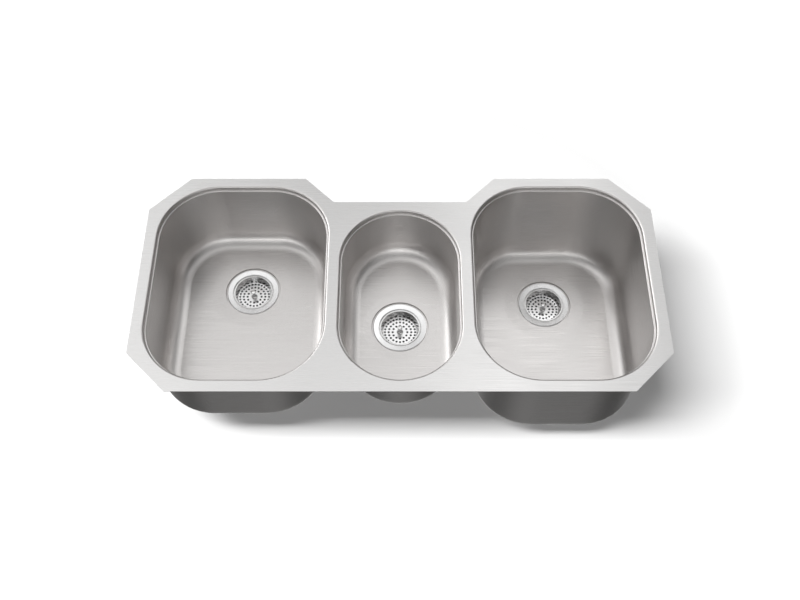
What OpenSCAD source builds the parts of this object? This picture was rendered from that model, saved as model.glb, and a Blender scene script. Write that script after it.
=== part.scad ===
// Undermount kitchen sink with three pressed bowls and a basket strainer drain in each.
// Millimetres, +Z up. The origin is the centre of the rim's top face, the plane that meets
// the underside of a worktop. +X is to the right and +Y is to the back, away from the user.

/* [Rim] */
// Flat rim left between a bowl's opening and the rim's left or right end
end_margin = 20.3; // [15:0.1:40]
// Flat rim left in front of each opening
front_margin = 21.5; // [15:0.5:35]
// Flat rim left behind each opening
back_margin = 19; // [15:0.5:35]
// Flat rim between two neighbouring openings
bridge_w = 18.7; // [15:0.1:40]
// Length cut from each outer corner, at 45 degrees
corner_cut = 82; // [60:1:90]
// Half the width of the notch behind the middle bowl, at its inner edge
notch_half_w = 140.3; // [130:0.1:150]
// Thickness of the steel sheet, for the rim and the bowls
sheet_t = 1.2; // [0.8:0.1:1.6]

/* [Bowls] */
// Width of the left and right openings
side_bowl_w = 363; // [330:1:380]
// Length of the left and right openings, front to back
side_bowl_l = 465; // [440:0.5:480]
// Corner radius of the left and right openings
side_corner_r = 129; // [110:1:135]
// Width of the middle opening, whose ends are half circles
middle_bowl_w = 253; // [240:1:260]
// Length of the middle opening, front to back
middle_bowl_l = 403; // [380:0.5:410]
// Depth of the left bowl, from the rim to the flat of its floor
left_depth = 188.5; // [150:0.5:260]
// Depth of the middle bowl
middle_depth = 140.5; // [130:0.5:260]
// Depth of the right bowl
right_depth = 244; // [150:0.5:260]
// Radius between the wall and the floor, on the inside
floor_r = 34; // [25:1:38]
// Slope of the walls, in degrees from the vertical
wall_draft = 0.4; // [0.1:0.1:1]

/* [Drains] */
// Place of the left and right drains, behind the rim's centre line
side_drain_y = 85; // [0:1:90]
// Place of the middle drain, behind the rim's centre line
middle_drain_y = -33; // [-60:1:-10]
// Radius of the drain hole in the bowl's floor
drain_hole_r = 44.45; // [44.2:0.05:44.8]
// Outside radius of the strainer's flange
flange_r = 57.15; // [56:0.05:58]
// Outside radius of the thread on the drain's outlet
outlet_thread_r = 23.9; // [23.5:0.1:24.2]
// Diameter of the small holes in the basket
perforation_d = 4.6; // [2.5:0.1:5]
// Radius of the knob on the basket
knob_r = 5.3; // [4:0.1:7]

/* [Hidden] */
$fn = 96;

// Plan of the rim and the bowls
rim_back = (side_bowl_l + front_margin + back_margin) / 2;
rim_front = -rim_back;
front_y = rim_front + front_margin;
side_y = front_y + side_bowl_l / 2;
side_x = middle_bowl_w / 2 + bridge_w + side_bowl_w / 2;
rim_half_w = side_x + side_bowl_w / 2 + end_margin;
middle_y = front_y + middle_bowl_l / 2;
notch_y = front_y + middle_bowl_l + back_margin;
notch_run = rim_back - notch_y;

// The pressed lip: a rolled edge, a short collar and a flat ledge, then the wall
lip_r = 4.5;
bend_r = 1;
ledge_z = -10.2;
ledge_r = 1.6;
wall_inset = 7.9;

// The floor around a drain: a shallow cone, then a recess that the flange sits in.
// The heights are counted from the flat of the floor.
cone_r = 90;
middle_cone_r = 79;
recess_r = 59.5;
cone_drop = 0.7;
recess_drop = 4.2;
overlap = 0.5;

// The strainer. Its heights are counted from the flange's underside.
flange_t = 2.4;
dish_r = 45.2;
dish_z = 1.3;
seat_r = 43.2;
seat_z = -0.5;
cup_r = 41;
cup_thread_r = 43.9;
cup_floor_z = -38;
cup_foot_z = -41;
outlet_r = 19;
outlet_end_z = -58;
tail_flange_r = 31;
tail_flange_t = 2;
spider_z = [-48, -43];
spider_hub_top_z = -40.5;
spider_hub_r = 6.5;
spider_hole_r = 3.4;
gasket_t = 3;
friction_t = 1;
nut_h = 11;

// The basket
basket_t = 0.8;
basket_rim_r = 42.6;
basket_rim_z = 0.6;
basket_top_r = 40.4;
basket_foot_r = 37.4;
basket_lip_r = 1.4;
basket_bend_r = 2.2;
plate_z = -20;
ring_r = [15.7, 24.2, 32.4];
ring_count = [12, 20, 28];
side_hole_d = 4;
side_hole_z = -13.5;
side_hole_count = 16;
post_r = 2.8;
post_collar_r = 6.8;
knob_top_z = 1.2;

// The stopper under the basket
seal_r = 30;
seal_top_z = -21.1;
seal_foot_z = -35.6;

function arc(c, r, a0, a1, steps) =
    [for (i = [0:steps]) let (a = a0 + (a1 - a0) * i / steps) c + r * [cos(a), sin(a)]];

// ---------- rim and bowls ----------

module rounded_opening(w, l, r) {
    square([w, l - 2 * r], center = true);
    if (w > 2 * r) square([w - 2 * r, l], center = true);
    for (sx = w > 2 * r ? [-1, 1] : [0], sy = [-1, 1])
        translate([sx * (w / 2 - r), sy * (l / 2 - r)]) circle(r);
}

module rim_outline() {
    polygon([
        [-rim_half_w + corner_cut, rim_front], [rim_half_w - corner_cut, rim_front],
        [rim_half_w, rim_front + corner_cut], [rim_half_w, rim_back - corner_cut],
        [rim_half_w - corner_cut, rim_back], [notch_half_w + notch_run, rim_back],
        [notch_half_w, notch_y], [-notch_half_w, notch_y],
        [-notch_half_w - notch_run, rim_back], [-rim_half_w + corner_cut, rim_back],
        [-rim_half_w, rim_back - corner_cut], [-rim_half_w, rim_front + corner_cut]
    ]);
}

module rim_deck() {
    color("silver") translate([0, 0, -sheet_t]) linear_extrude(sheet_t) difference() {
        rim_outline();
        for (sx = [-1, 1]) translate([sx * side_x, side_y])
            rounded_opening(side_bowl_w, side_bowl_l, side_corner_r);
        translate([0, middle_y]) rounded_opening(middle_bowl_w, middle_bowl_l, middle_bowl_w / 2);
    }
}

// What lies on the hollow side of one face of the pressed sheet. x is the distance in from
// the opening's edge, y is the height, and t is how far the face lies outside the hollow.
module hollow_side(depth, reach, t) {
    wall_top_z = ledge_z - ledge_r;
    foot_z = -(depth - floor_r);
    foot_x = wall_inset + (wall_top_z - foot_z) * tan(wall_draft);
    difference() {
        polygon([
            [0, 0], [0, -lip_r], [lip_r - t, -lip_r], [lip_r - t, ledge_z + bend_r],
            [lip_r + bend_r, ledge_z - t], [wall_inset - ledge_r, ledge_z - t],
            [wall_inset - ledge_r, wall_top_z], [wall_inset - t, wall_top_z],
            [foot_x - t, foot_z], [foot_x + floor_r, -depth - t], [reach, -depth - t], [reach, 0]
        ]);
        translate([0, -lip_r]) circle(lip_r - t);
        translate([wall_inset - ledge_r, wall_top_z]) circle(ledge_r - t);
    }
    inside_bend([lip_r + bend_r, ledge_z + bend_r], bend_r + t);
    inside_bend([foot_x + floor_r, foot_z], floor_r + t);
}

// The lower left quarter of a disc
module inside_bend(centre, r) {
    intersection() {
        translate(centre) circle(r);
        translate(centre - [r, r]) square(r);
    }
}

module sheet_section(depth, reach) {
    difference() {
        hollow_side(depth, reach, sheet_t);
        hollow_side(depth, reach, 0);
    }
}

module bowl_corner(depth, r, turn) {
    rotate_extrude(angle = turn) translate([r, 0]) mirror([1, 0]) sheet_section(depth, r);
}

// A straight stretch of wall, seen from above: it runs along +X and its hollow is towards +Y
module bowl_straight(depth, r, length) {
    rotate([90, 0, 90]) linear_extrude(length) sheet_section(depth, r);
}

module floor_cone_section(reach_r) {
    polygon([
        [reach_r + overlap, 0], [reach_r, 0], [recess_r + 1, -cone_drop],
        [recess_r, -recess_drop], [drain_hole_r, -recess_drop],
        [drain_hole_r, -recess_drop - sheet_t], [recess_r + 0.9, -recess_drop - sheet_t],
        [recess_r + 2.2, -cone_drop - sheet_t], [reach_r, -sheet_t], [reach_r + overlap, -sheet_t]
    ]);
}

module pressed_shell(w, l, r, depth) {
    // Long sides, then short sides
    for (turn = [0, 180]) rotate(turn) {
        translate([w / 2, -l / 2 + r, 0]) rotate(90) bowl_straight(depth, r, l - 2 * r);
        if (w > 2 * r) {
            translate([-w / 2 + r, -l / 2, 0]) bowl_straight(depth, r, w - 2 * r);
            translate([w / 2 - r, l / 2 - r, 0]) bowl_corner(depth, r, 90);
            translate([w / 2 - r, -l / 2 + r, 0]) rotate(-90) bowl_corner(depth, r, 90);
        } else {
            translate([0, l / 2 - r, 0]) bowl_corner(depth, r, 180);
        }
    }
    if (w > 2 * r)
        translate([-w / 2 + r, -l / 2 + r, -depth - sheet_t])
            cube([w - 2 * r, l - 2 * r, sheet_t]);
}

module bowl(w, l, r, depth, drain_y, reach_r) {
    difference() {
        pressed_shell(w, l, r, depth);
        translate([0, drain_y, -depth - 2 * sheet_t]) cylinder(r = reach_r, h = 4 * sheet_t);
    }
    translate([0, drain_y, -depth]) rotate_extrude() floor_cone_section(reach_r);
}

module side_bowl(side, depth) {
    color("silver") translate([side * side_x, side_y, 0])
        bowl(side_bowl_w, side_bowl_l, side_corner_r, depth, side_drain_y - side_y, cone_r);
}

module middle_bowl() {
    color("silver") translate([0, middle_y, 0])
        bowl(middle_bowl_w, middle_bowl_l, middle_bowl_w / 2, middle_depth,
             middle_drain_y - middle_y, middle_cone_r);
}

// ---------- drain hardware ----------

function drain_at(x, y, depth) = [x, y, -depth - recess_drop];
LEFT = drain_at(-side_x, side_drain_y, left_depth);
MIDDLE = drain_at(0, middle_drain_y, middle_depth);
RIGHT = drain_at(side_x, side_drain_y, right_depth);

module strainer_body_section() {
    polygon([
        [dish_r, dish_z], [flange_r - 1.4, flange_t], [flange_r - 0.4, flange_t - 0.4],
        [flange_r, flange_t - 1.2], [flange_r, 0], [cup_thread_r, 0],
        [cup_thread_r, cup_floor_z + 3], [cup_thread_r - 6, cup_foot_z],
        [outlet_r, cup_foot_z], [outlet_r, cup_floor_z - 0.5], [cup_r - 10, cup_floor_z],
        [cup_r - 3, cup_floor_z + 3.5], [cup_r, cup_floor_z + 7.5], [cup_r, seat_z],
        [seat_r, seat_z], [seat_r, dish_z - 1]
    ]);
}

module strainer_body(place) {
    color("whitesmoke") translate(place) rotate_extrude() strainer_body_section();
}

// The threaded tail welded under the cup, with the spider that guides the basket's post
module outlet_tail(place) {
    color("gainsboro") translate(place) difference() {
        union() {
            rotate_extrude() polygon([
                [outlet_r, cup_foot_z], [tail_flange_r, cup_foot_z],
                [tail_flange_r, cup_foot_z - tail_flange_t],
                [outlet_thread_r, cup_foot_z - tail_flange_t],
                [outlet_thread_r, outlet_end_z + 0.8], [outlet_thread_r - 0.8, outlet_end_z],
                [outlet_r, outlet_end_z]
            ]);
            translate([0, 0, spider_z[0]]) {
                for (turn = [45, 135]) rotate(turn) translate([-outlet_r - 1, -2, 0])
                    cube([2 * outlet_r + 2, 4, spider_z[1] - spider_z[0]]);
                cylinder(r = spider_hub_r, h = spider_hub_top_z - spider_z[0]);
            }
        }
        translate([0, 0, spider_z[0] - 1]) cylinder(r = spider_hole_r, h = 10);
    }
}

module washer(place, top_z, thick, outer_r, shade) {
    color(shade) translate(place + [0, 0, top_z - thick]) difference() {
        cylinder(r = outer_r, h = thick);
        translate([0, 0, -1]) cylinder(r = cup_thread_r + 0.2, h = thick + 2);
    }
}

module lock_nut(place) {
    top_z = -sheet_t - gasket_t - friction_t;
    color("lightgray") translate(place + [0, 0, top_z - nut_h]) difference() {
        union() {
            cylinder(r = cup_thread_r + 5.5, h = nut_h);
            translate([0, 0, nut_h - 3]) cylinder(r = cup_thread_r + 10, h = 3);
            for (k = [0:5]) rotate(60 * k) translate([cup_thread_r + 3, -5, 0])
                cube([8.5, 10, nut_h - 1.5]);
        }
        translate([0, 0, -1]) cylinder(r = cup_thread_r + 0.1, h = nut_h + 2);
    }
}

// A rubber bell: a thick hub round the post and a skirt that closes on the cup's floor
module stopper_seal(place) {
    color("black") translate(place) rotate_extrude() polygon([
        [post_r + 0.2, seal_top_z], [9, seal_top_z], [12, seal_top_z - 2],
        [seal_r - 4, seal_foot_z + 5], [seal_r, seal_foot_z + 2], [seal_r, seal_foot_z + 0.6],
        [seal_r - 0.6, seal_foot_z], [seal_r - 5, seal_foot_z + 1], [12, seal_top_z - 6.5],
        [post_r + 0.2, seal_top_z - 6.5]
    ]);
}

module basket(place) {
    t = basket_t;
    bend = basket_bend_r;
    foot_z = plate_z - t + bend;
    lip_z = basket_rim_z - basket_lip_r;
    color("silver") translate(place) difference() {
        rotate_extrude() polygon(concat(
            [[basket_rim_r - 0.3, basket_rim_z], [basket_rim_r, basket_rim_z - 0.3],
             [basket_rim_r, basket_rim_z - t], [basket_top_r + 0.3, basket_rim_z - t],
             [basket_top_r, basket_rim_z - t - 0.3]],
            arc([basket_foot_r - bend, foot_z], bend, 0, -90, 5),
            [[post_r + 0.1, plate_z - t], [post_r + 0.1, plate_z]],
            arc([basket_foot_r - bend, foot_z], bend - t, -90, 0, 5),
            arc([basket_top_r - t + basket_lip_r, lip_z], basket_lip_r, 180, 90, 4)
        ));
        for (k = [0:2], i = [0:ring_count[k] - 1])
            rotate(360 * i / ring_count[k]) translate([ring_r[k], 0, plate_z - 2])
                cylinder(d = perforation_d, h = 4, $fn = 24);
        for (i = [0:side_hole_count - 1])
            rotate(360 * (i + 0.5) / side_hole_count) translate([basket_foot_r - 2.5, 0, side_hole_z])
                rotate([0, 90, 0]) cylinder(d = side_hole_d, h = 6, $fn = 24);
    }
}

post_top_z = -9;
post_end_z = -53;
post_nut_z = [-31.2, -27.8];

module post(place) {
    color("gainsboro") translate(place) rotate_extrude() polygon([
        [0, post_top_z], [post_r + 0.4, post_top_z], [post_r + 0.4, plate_z + 5.5],
        [post_r + 1.2, plate_z + 3.8], [post_collar_r - 1.6, plate_z + 2.6],
        [post_collar_r - 0.3, plate_z + 1.6], [post_collar_r, plate_z + 0.8],
        [post_collar_r, plate_z], [post_r, plate_z], [post_r, post_end_z + 1.5],
        [post_r - 1.5, post_end_z], [0, post_end_z]
    ]);
}

// A low dome on a narrow neck
module knob(place) {
    rim_z = knob_top_z - 2;
    color("gainsboro") translate(place) rotate_extrude() polygon(concat(
        [[0, post_top_z], [post_r + 0.4, post_top_z], [post_r + 0.2, rim_z - 3.4]],
        arc([knob_r - 1.3, rim_z], 1.3, -60, 60, 5),
        arc([0, knob_top_z - 14], 14, 72, 90, 4)
    ));
}

module post_nut(place) {
    color("gainsboro") translate(place + [0, 0, post_nut_z[0]]) difference() {
        cylinder(r = 6.2, h = post_nut_z[1] - post_nut_z[0], $fn = 6);
        translate([0, 0, -1]) cylinder(r = post_r, h = 6);
    }
}

gasket_top_z = -sheet_t;
friction_top_z = gasket_top_z - gasket_t;

rim_deck();
side_bowl(-1, left_depth);  // left_bowl
middle_bowl();
side_bowl(1, right_depth);  // right_bowl
strainer_body(LEFT);  // left_strainer_body
strainer_body(MIDDLE);  // middle_strainer_body
strainer_body(RIGHT);  // right_strainer_body
outlet_tail(LEFT);  // left_outlet_tail
outlet_tail(MIDDLE);  // middle_outlet_tail
outlet_tail(RIGHT);  // right_outlet_tail
washer(LEFT, gasket_top_z, gasket_t, flange_r - 1, "black");  // left_rubber_gasket
washer(MIDDLE, gasket_top_z, gasket_t, flange_r - 1, "black");  // middle_rubber_gasket
washer(RIGHT, gasket_top_z, gasket_t, flange_r - 1, "black");  // right_rubber_gasket
washer(LEFT, friction_top_z, friction_t, flange_r - 2, "tan");  // left_friction_ring
washer(MIDDLE, friction_top_z, friction_t, flange_r - 2, "tan");  // middle_friction_ring
washer(RIGHT, friction_top_z, friction_t, flange_r - 2, "tan");  // right_friction_ring
lock_nut(LEFT);  // left_lock_nut
lock_nut(MIDDLE);  // middle_lock_nut
lock_nut(RIGHT);  // right_lock_nut
stopper_seal(LEFT);  // left_stopper_seal
stopper_seal(MIDDLE);  // middle_stopper_seal
stopper_seal(RIGHT);  // right_stopper_seal
basket(LEFT);  // left_basket
basket(MIDDLE);  // middle_basket
basket(RIGHT);  // right_basket
post(LEFT);  // left_post
post(MIDDLE);  // middle_post
post(RIGHT);  // right_post
knob(LEFT);  // left_knob
knob(MIDDLE);  // middle_knob
knob(RIGHT);  // right_knob
post_nut(LEFT);  // left_post_nut
post_nut(MIDDLE);  // middle_post_nut
post_nut(RIGHT);  // right_post_nut
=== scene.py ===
import math

import bpy
from mathutils import Matrix, Vector


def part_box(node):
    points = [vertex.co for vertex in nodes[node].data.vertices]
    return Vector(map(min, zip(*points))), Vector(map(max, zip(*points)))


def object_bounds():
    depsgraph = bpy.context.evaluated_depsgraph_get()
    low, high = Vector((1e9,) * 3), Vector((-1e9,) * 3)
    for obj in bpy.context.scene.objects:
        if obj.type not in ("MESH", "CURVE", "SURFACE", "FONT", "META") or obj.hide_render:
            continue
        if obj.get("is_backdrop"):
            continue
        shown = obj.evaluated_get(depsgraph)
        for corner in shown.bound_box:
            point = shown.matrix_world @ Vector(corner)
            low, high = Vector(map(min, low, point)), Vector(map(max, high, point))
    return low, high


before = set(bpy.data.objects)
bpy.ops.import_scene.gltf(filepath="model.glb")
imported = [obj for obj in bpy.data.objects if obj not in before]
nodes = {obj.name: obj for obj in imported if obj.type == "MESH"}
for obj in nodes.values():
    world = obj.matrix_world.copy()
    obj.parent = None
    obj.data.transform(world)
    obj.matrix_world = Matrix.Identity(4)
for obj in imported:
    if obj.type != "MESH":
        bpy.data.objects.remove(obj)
cad_low, cad_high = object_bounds()
scene = bpy.context.scene

SIDES = ("left", "middle", "right")
WHITE = (1, 1, 1, 1)
UP = (0, 0, 1)

# Brush marks per metre, along the marks and across them.
FINE_ALONG, FINE_ACROSS = 8, 3500
COARSE_ALONG, COARSE_ACROSS = 6, 700
TURNING_MARKS = 1800.0

# Painted shade inside the drain: how far below the flange top it starts, and over what height it
# fades in.
PAINTED_SHADE_DEPTH = 0.006
PAINTED_SHADE_FADE = 0.003
FLOOR_HALF = 30.0
FLOOR_GAP = 0.0005


# ---------- node graphs ----------

class Graph:
    """The node tree of a material or world, with short ways to add and join nodes."""

    def __init__(self, owner, output_kind):
        owner.use_nodes = True
        self.tree = owner.node_tree
        self.tree.nodes.clear()
        self.output = self.add(output_kind)

    def add(self, kind, inputs=None, **settings):
        node = self.tree.nodes.new(kind)
        for key, value in settings.items():
            setattr(node, key, value)
        for key, value in (inputs or {}).items():
            socket = node.inputs[key]
            if isinstance(value, bpy.types.NodeSocket):
                self.tree.links.new(value, socket)
            else:
                socket.default_value = value
        return node

    def show(self, shader):
        self.tree.links.new(shader.outputs[0], self.output.inputs["Surface"])

    def math(self, operation, a, b=0.0, c=None):
        inputs = {0: a, 1: b}
        if c is not None:
            inputs[2] = c
        return self.add("ShaderNodeMath", inputs, operation=operation).outputs[0]

    def vector(self, operation, a, b=None):
        inputs = {0: a}
        if b is not None:
            inputs[1] = b
        node = self.add("ShaderNodeVectorMath", inputs, operation=operation)
        is_number = operation in ("DOT_PRODUCT", "LENGTH")
        return node.outputs["Value" if is_number else 0]

    def split(self, vector):
        return self.add("ShaderNodeSeparateXYZ", {"Vector": vector}).outputs

    def join(self, **parts):
        return self.add("ShaderNodeCombineXYZ", parts).outputs[0]

    def mix(self, factor, a, b):
        """Blend two numbers."""
        return self.add("ShaderNodeMix", {0: factor, 2: a, 3: b}, data_type="FLOAT").outputs[0]

    def blend(self, factor, a, b):
        """Blend two colours."""
        return self.add("ShaderNodeMix", {0: factor, 6: a, 7: b}, data_type="RGBA").outputs[2]


class Surface(Graph):
    """A material made of procedural patterns in the object's own metres."""

    def __init__(self, name):
        self.material = bpy.data.materials.new(name)
        super().__init__(self.material, "ShaderNodeOutputMaterial")
        self.place = self.add("ShaderNodeTexCoord").outputs["Object"]
        self.geometry = self.add("ShaderNodeNewGeometry").outputs

    def noise(self, place, scale, detail=2.0, roughness=0.5):
        inputs = {"Vector": place, "Scale": scale, "Detail": detail, "Roughness": roughness}
        return self.add("ShaderNodeTexNoise", inputs).outputs["Fac"]

    def streaks(self, scales, detail=2.0, roughness=0.6):
        """Noise with its own number of marks per metre along x, y and z."""
        inputs = {"Vector": self.place, "Scale": scales}
        stretched = self.add("ShaderNodeMapping", inputs).outputs[0]
        return self.noise(stretched, 1.0, detail, roughness)

    def remap(self, value, low, high, new_low, new_high):
        inputs = {"Value": value, "From Min": low, "From Max": high,
                  "To Min": new_low, "To Max": new_high}
        return self.add("ShaderNodeMapRange", inputs).outputs[0]

    def between(self, noise, low, high):
        """Spread the usual values of a noise from low to high."""
        return self.remap(noise, 0.3, 0.7, low, high)

    def tint(self, factor, dark, light):
        ramp = self.add("ShaderNodeValToRGB", {"Fac": factor})
        ramp.color_ramp.elements[0].color = (*dark, 1)
        ramp.color_ramp.elements[1].color = (*light, 1)
        return ramp.outputs["Color"]

    def grey(self, factor, dark, light, warmth=(1.0, 1.0, 1.0)):
        """A tint from one grey to another, both multiplied by the colour warmth."""
        return self.tint(factor, [dark * w for w in warmth], [light * w for w in warmth])

    def bump(self, height, strength, distance):
        inputs = {"Height": height, "Strength": strength, "Distance": distance}
        return self.add("ShaderNodeBump", inputs).outputs[0]

    def edge_wear(self, radius):
        """1 along sharp outer edges, where handling polishes the sheet, 0 on open faces."""
        rounded = self.add("ShaderNodeBevel", {"Radius": radius}, samples=4).outputs[0]
        alike = self.vector("DOT_PRODUCT", rounded, self.geometry["Normal"])
        return self.remap(alike, 0.99, 0.8, 0.0, 1.0)

    def finish(self, **inputs):
        named = {key.replace("_", " "): value for key, value in inputs.items()}
        self.show(self.add("ShaderNodeBsdfPrincipled", named))
        return self.material


# ---------- the sink's materials ----------

def rim_steel():
    """Flat sheet brushed from end to end."""
    g = Surface("rim_brushed_steel")
    fine = g.streaks((FINE_ALONG, FINE_ACROSS, FINE_ACROSS))
    coarse = g.streaks((COARSE_ALONG, COARSE_ACROSS, COARSE_ACROSS))
    cloud = g.noise(g.place, 7.0, 3.0)
    grain = g.mix(0.35, fine, coarse)
    wear = g.edge_wear(0.0012)
    shade = g.math("ADD", grain, g.math("MULTIPLY", wear, 0.3))
    rough = g.between(g.mix(0.2, fine, cloud), 0.18, 0.42)
    return g.finish(Base_Color=g.grey(shade, 0.63, 0.73, warmth=(1.0, 0.992, 0.985)),
                    Metallic=1.0,
                    Roughness=g.math("SUBTRACT", rough, g.math("MULTIPLY", wear, 0.08)),
                    Anisotropic=0.6, Tangent=g.join(Y=1.0),
                    Normal=g.bump(fine, 0.05, 0.0001))


def bowl_steel():
    """Drawn bowl: the walls are brushed round the bowl and the floor from side to side."""
    g = Surface("bowl_brushed_steel")
    normal = g.geometry["Normal"]
    facing = g.split(normal)["X"]
    sideways = g.remap(g.math("MULTIPLY", facing, facing), 0.25, 0.6, 0.0, 1.0)
    around = g.vector("ADD", g.vector("CROSS_PRODUCT", UP, normal), (0.06, 0, 0))
    across_grain = g.vector("NORMALIZE", g.vector("CROSS_PRODUCT", normal, around))

    def grain(along, across):
        return g.mix(sideways, g.streaks((along, across, across)),
                     g.streaks((across, along, across)))

    fine = grain(FINE_ALONG, FINE_ACROSS)
    both = g.mix(0.2, fine, grain(COARSE_ALONG, COARSE_ACROSS))
    cloud = g.noise(g.place, 9.0, 3.0)
    shade = g.mix(0.3, both, cloud)
    return g.finish(Base_Color=g.grey(shade, 0.64, 0.70, warmth=(1.0, 0.975, 0.96)),
                    Metallic=1.0,
                    Roughness=g.between(g.mix(0.12, fine, cloud), 0.22, 0.46),
                    Anisotropic=0.6, Tangent=across_grain,
                    Normal=g.bump(both, 0.05, 0.0002))


def spun_steel(name, centre, roughness, strength, shade_below=None):
    """Satin metal turned about the drain's axis. Below the given height it is painted
    near-black: painted shade for the hollow inside the drain.
    """
    g = Surface(name)
    place = g.vector("SUBTRACT", g.place, tuple(centre))
    parts = g.split(place)
    x_squared, y_squared = (g.math("MULTIPLY", parts[axis], parts[axis]) for axis in "XY")
    radius = g.math("SQRT", g.math("ADD", x_squared, y_squared))
    ring = g.join(X=g.math("MULTIPLY", radius, TURNING_MARKS),
                  Y=g.math("ARCTAN2", parts["Y"], parts["X"]),
                  Z=g.math("MULTIPLY", parts["Z"], TURNING_MARKS))
    turned = g.noise(ring, 1.0, 3.0, 0.6)
    cloud = g.noise(place, 40.0, 2.0)
    wear = g.edge_wear(0.0006)
    rough = g.between(g.mix(0.4, turned, cloud), roughness - 0.05, roughness + 0.06)
    colour = g.grey(turned, 0.76, 0.88)
    if shade_below is not None:
        # Painted shade: below the given height the metal is painted near-black, where the inside
        # of the drain lies in shade.
        painted_shade = g.tint(cloud, (0.04, 0.04, 0.038), (0.12, 0.118, 0.11))
        height = g.math("ADD", parts["Z"], g.between(cloud, -0.001, 0.001))
        above_shade = g.remap(height, shade_below - PAINTED_SHADE_FADE, shade_below, 0.0, 1.0)
        colour = g.blend(above_shade, painted_shade, colour)
    return g.finish(Base_Color=colour, Metallic=1.0,
                    Roughness=g.math("SUBTRACT", rough, g.math("MULTIPLY", wear, 0.05)),
                    Anisotropic=0.4,
                    Tangent=g.vector("NORMALIZE", g.vector("CROSS_PRODUCT", UP, place)),
                    Normal=g.bump(turned, strength, 0.0001))


def polished_steel():
    g = Surface("polished_steel")
    smear = g.noise(g.place, 180.0, 3.0)
    fine = g.noise(g.place, 1500.0, 2.0)
    return g.finish(Base_Color=g.grey(smear, 0.66, 0.78), Metallic=1.0,
                    Roughness=g.between(smear, 0.07, 0.16), Normal=g.bump(fine, 0.03, 0.0001))


def zinc_plate():
    g = Surface("zinc_plate")
    crystals = g.add("ShaderNodeTexVoronoi", {"Vector": g.place, "Scale": 260.0})
    both = g.mix(0.5, crystals.outputs["Distance"], g.noise(g.place, 60.0, 3.0))
    return g.finish(Base_Color=g.tint(both, (0.36, 0.36, 0.34), (0.58, 0.58, 0.55)),
                    Metallic=1.0, Roughness=g.remap(both, 0.2, 0.8, 0.35, 0.55),
                    Normal=g.bump(both, 0.15, 0.0003))


def rubber():
    g = Surface("black_rubber")
    grain = g.noise(g.place, 1200.0, 3.0)
    dust = g.noise(g.place, 50.0, 3.0)
    return g.finish(Base_Color=g.tint(dust, (0.006, 0.006, 0.006), (0.018, 0.018, 0.017)),
                    Specular_IOR_Level=0.25, Roughness=g.between(dust, 0.7, 0.85),
                    Normal=g.bump(grain, 0.2, 0.0002))


def fibre():
    g = Surface("pressed_fibre")
    fleck = g.streaks((500, 900, 900), 4.0, 0.7)
    cloud = g.noise(g.place, 70.0, 2.0)
    return g.finish(Base_Color=g.tint(g.mix(0.4, fleck, cloud),
                                      (0.26, 0.17, 0.09), (0.52, 0.39, 0.25)),
                    Roughness=g.between(fleck, 0.75, 0.95), Normal=g.bump(fleck, 0.3, 0.0003))


def dress(node, material):
    data = nodes[node].data
    data.materials.clear()
    data.materials.append(material)


bowl_material = bowl_steel()
shared = {"rubber_gasket": rubber(), "friction_ring": fibre(), "lock_nut": zinc_plate(),
          "post": polished_steel()}
shared["outlet_tail"] = shared["lock_nut"]
shared["stopper_seal"] = shared["rubber_gasket"]
shared["knob"] = shared["post_nut"] = shared["post"]

dress("rim_deck", rim_steel())
for side_name in SIDES:
    dress(f"{side_name}_bowl", bowl_material)
    low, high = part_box(f"{side_name}_strainer_body")
    drain = (low + high) / 2
    # The strainer body's inside, below its flange, is painted near-black as painted shade.
    flange = spun_steel(f"{side_name}_spun_flange_painted_shade", drain, roughness=0.26, strength=0.08,
                        shade_below=(high - drain).z - PAINTED_SHADE_DEPTH)
    dress(f"{side_name}_strainer_body", flange)
    dress(f"{side_name}_basket",
          spun_steel(f"{side_name}_spun_basket", drain, roughness=0.19, strength=0.05))
    for piece, material in shared.items():
        dress(f"{side_name}_{piece}", material)


# ---------- the floor ----------

def floor_material():
    """Pale, lit to white away from the sink, and clear from below."""
    g = Surface("pale_floor")
    cloud = g.noise(g.place, 3.0, 4.0)
    far = g.remap(g.vector("LENGTH", g.place), 0.8, 1.8, 0.0, 1.0)
    material = g.finish(Base_Color=g.grey(cloud, 0.57, 0.59), Roughness=0.9,
                        Specular_IOR_Level=0.0, Emission_Color=WHITE, Emission_Strength=far)
    pale = g.output.inputs["Surface"].links[0].from_socket
    clear = g.add("ShaderNodeBsdfTransparent").outputs[0]
    g.show(g.add("ShaderNodeMixShader", {0: g.geometry["Backfacing"], 1: pale, 2: clear}))
    return material


level = cad_low.z - FLOOR_GAP
corners = ((-1, -1), (1, -1), (1, 1), (-1, 1))
mesh = bpy.data.meshes.new("floor")
mesh.from_pydata([(x * FLOOR_HALF, y * FLOOR_HALF, level) for x, y in corners], [],
                 [(0, 1, 2, 3)])
floor = bpy.data.objects.new("floor", mesh)
floor.data.materials.append(floor_material())
scene.collection.objects.link(floor)
floor.visible_glossy = False
floor.visible_shadow = False
floor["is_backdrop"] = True


# ---------- the lights ----------

def softbox(name, place, aim, size, radiance, shadow=True):
    """A rectangular light square to the sink, which the metal doesn't reflect."""
    light = bpy.data.lights.new(name, "AREA")
    light.shape = "RECTANGLE"
    light.size, light.size_y = size
    light.energy = radiance * size[0] * size[1] * math.pi
    light.use_shadow = shadow
    light.cycles.use_multiple_importance_sampling = shadow
    back = (Vector(place) - Vector(aim)).normalized()
    across = (Vector((1, 0, 0)) - back * back.x).normalized()
    lamp = bpy.data.objects.new(name, light)
    lamp.location = place
    lamp.rotation_euler = Matrix((across, back.cross(across), back)).transposed().to_euler()
    lamp.visible_camera = False
    lamp.visible_glossy = False
    scene.collection.objects.link(lamp)


softbox("key", place=(-2.25, -1.36, 6.0), aim=(0, 0, -0.3), size=(3.8, 1.2), radiance=58.0)
softbox("fill", place=(0, 0, 5.0), aim=(0, 0, 0), size=(6.0, 6.0), radiance=1.12, shadow=False)


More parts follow.
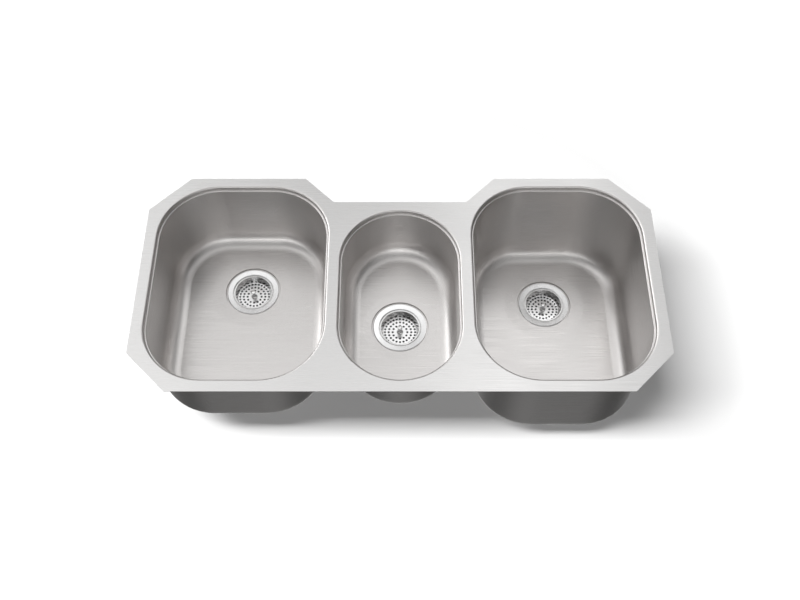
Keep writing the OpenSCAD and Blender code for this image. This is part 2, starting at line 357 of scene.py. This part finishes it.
class Studio(Graph):
    """A dark studio with soft patches of light, for the metal to reflect. The camera sees
    plain white beyond the floor. Directions are in degrees, anticlockwise from the right."""

    DOME_FOCUS = 11.5
    BANNER_FOCUS = 9.1

    def __init__(self):
        world = bpy.data.worlds.new("studio")
        super().__init__(world, "ShaderNodeOutputWorld")
        world.cycles_visibility.diffuse = False
        scene.world = world
        generated = self.add("ShaderNodeTexCoord").outputs["Generated"]
        self.direction = self.vector("NORMALIZE", generated)
        self.parts = self.split(self.direction)
        self.elevation = self.math("ARCSINE", self.parts["Z"])
        flat = self.vector("MULTIPLY", self.direction, (1, 1, 0))
        self.heading = self.vector("NORMALIZE", flat)
        self.tilt = self.math("ARCTAN2", self.parts["Z"], self.parts["Y"])
        self.total = 0.0

    def glow(self, fall, radiance):
        self.total = self.math("MULTIPLY_ADD", self.math("EXPONENT", fall), radiance, self.total)

    def bell(self, value, middle, spread, rest=0.0):
        offset = self.math("DIVIDE", self.math("SUBTRACT", value, middle), spread)
        squared = self.math("MULTIPLY", offset, offset)
        return self.math("MULTIPLY_ADD", squared, -0.5, rest)

    def near(self, direction, aim, focus):
        """0 in the direction aim and more negative away from it."""
        alike = self.vector("DOT_PRODUCT", direction, aim)
        return self.math("MULTIPLY_ADD", alike, focus, -focus)

    def dome(self, azimuth, climb, radiance):
        """A round patch."""
        turn, lift = math.radians(azimuth), math.radians(climb)
        aim = (math.cos(turn) * math.cos(lift), math.sin(turn) * math.cos(lift), math.sin(lift))
        self.glow(self.near(self.direction, aim, self.DOME_FOCUS), radiance)

    def banner(self, azimuth, climb, radiance, spread=5.5):
        """A wide low patch along the horizon."""
        turn = math.radians(azimuth)
        aim = (math.cos(turn), math.sin(turn), 0)
        side = self.near(self.heading, aim, self.BANNER_FOCUS)
        middle, height = math.radians(climb), math.radians(spread)
        self.glow(self.bell(self.elevation, middle, height, side), radiance)

    def strip(self, across, width, tilt, spread, radiance):
        """A strip at the distance across to the right, and tilt degrees up from the rear,
        over the top."""
        side = self.bell(self.parts["X"], across, width)
        middle, height = math.radians(tilt), math.radians(spread)
        self.glow(self.bell(self.tilt, middle, height, side), radiance)

    def finish(self):
        seen = self.add("ShaderNodeLightPath").outputs["Is Camera Ray"]
        strength = self.mix(seen, self.total, 1.0)
        self.show(self.add("ShaderNodeBackground", {"Color": WHITE, "Strength": strength}))


studio = Studio()

# Overhead and high at the rear.
studio.dome(0, 90, 0.676)
studio.dome(90, 60, 0.451)
studio.dome(150, 60, 1.171)

# From below and from the sides, for the bowls' outsides.
studio.dome(90, -60, 1.359)
studio.dome(270, -60, 0.255)
for azimuth, radiance in ((0, 0.14), (90, 0.12), (180, 0.14)):
    studio.dome(azimuth, -20, radiance)

# Three patches side by side, high at the rear and to the right, for the bowls' floors.
for across, radiance in ((0.14, 1.221), (0.28, 0.182), (0.42, 0.655)):
    studio.strip(across, 0.07, 58, 14, radiance)

# Two long strips low at the front, for the rounded feet of the back walls.
studio.strip(0.0, 0.35, 156, 4.5, 1.256)
studio.strip(0.0, 0.35, 148, 4.5, 2.152)

# Patches round the room, for the walls.
for azimuth, radiance in ((45, 0.818), (135, 5.171), (180, 2.294), (225, 2.088), (315, 0.713)):
    studio.banner(azimuth, 27, radiance)
studio.banner(135, 39, 0.783, spread=6)
studio.banner(270, 52, 0.465, spread=6.5)
studio.banner(315, 52, 0.466, spread=6.5)
studio.finish()


# ---------- the camera ----------

scene.view_settings.view_transform = "Standard"

camera = bpy.data.objects.new("camera", bpy.data.cameras.new("camera"))
camera.data.lens = 44.469
camera.data.sensor_width = 36
camera.location = (0, -1.0671, 1.68514)
camera.rotation_euler = (math.radians(31.073), 0, 0)
scene.collection.objects.link(camera)
scene.camera = camera

low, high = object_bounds()
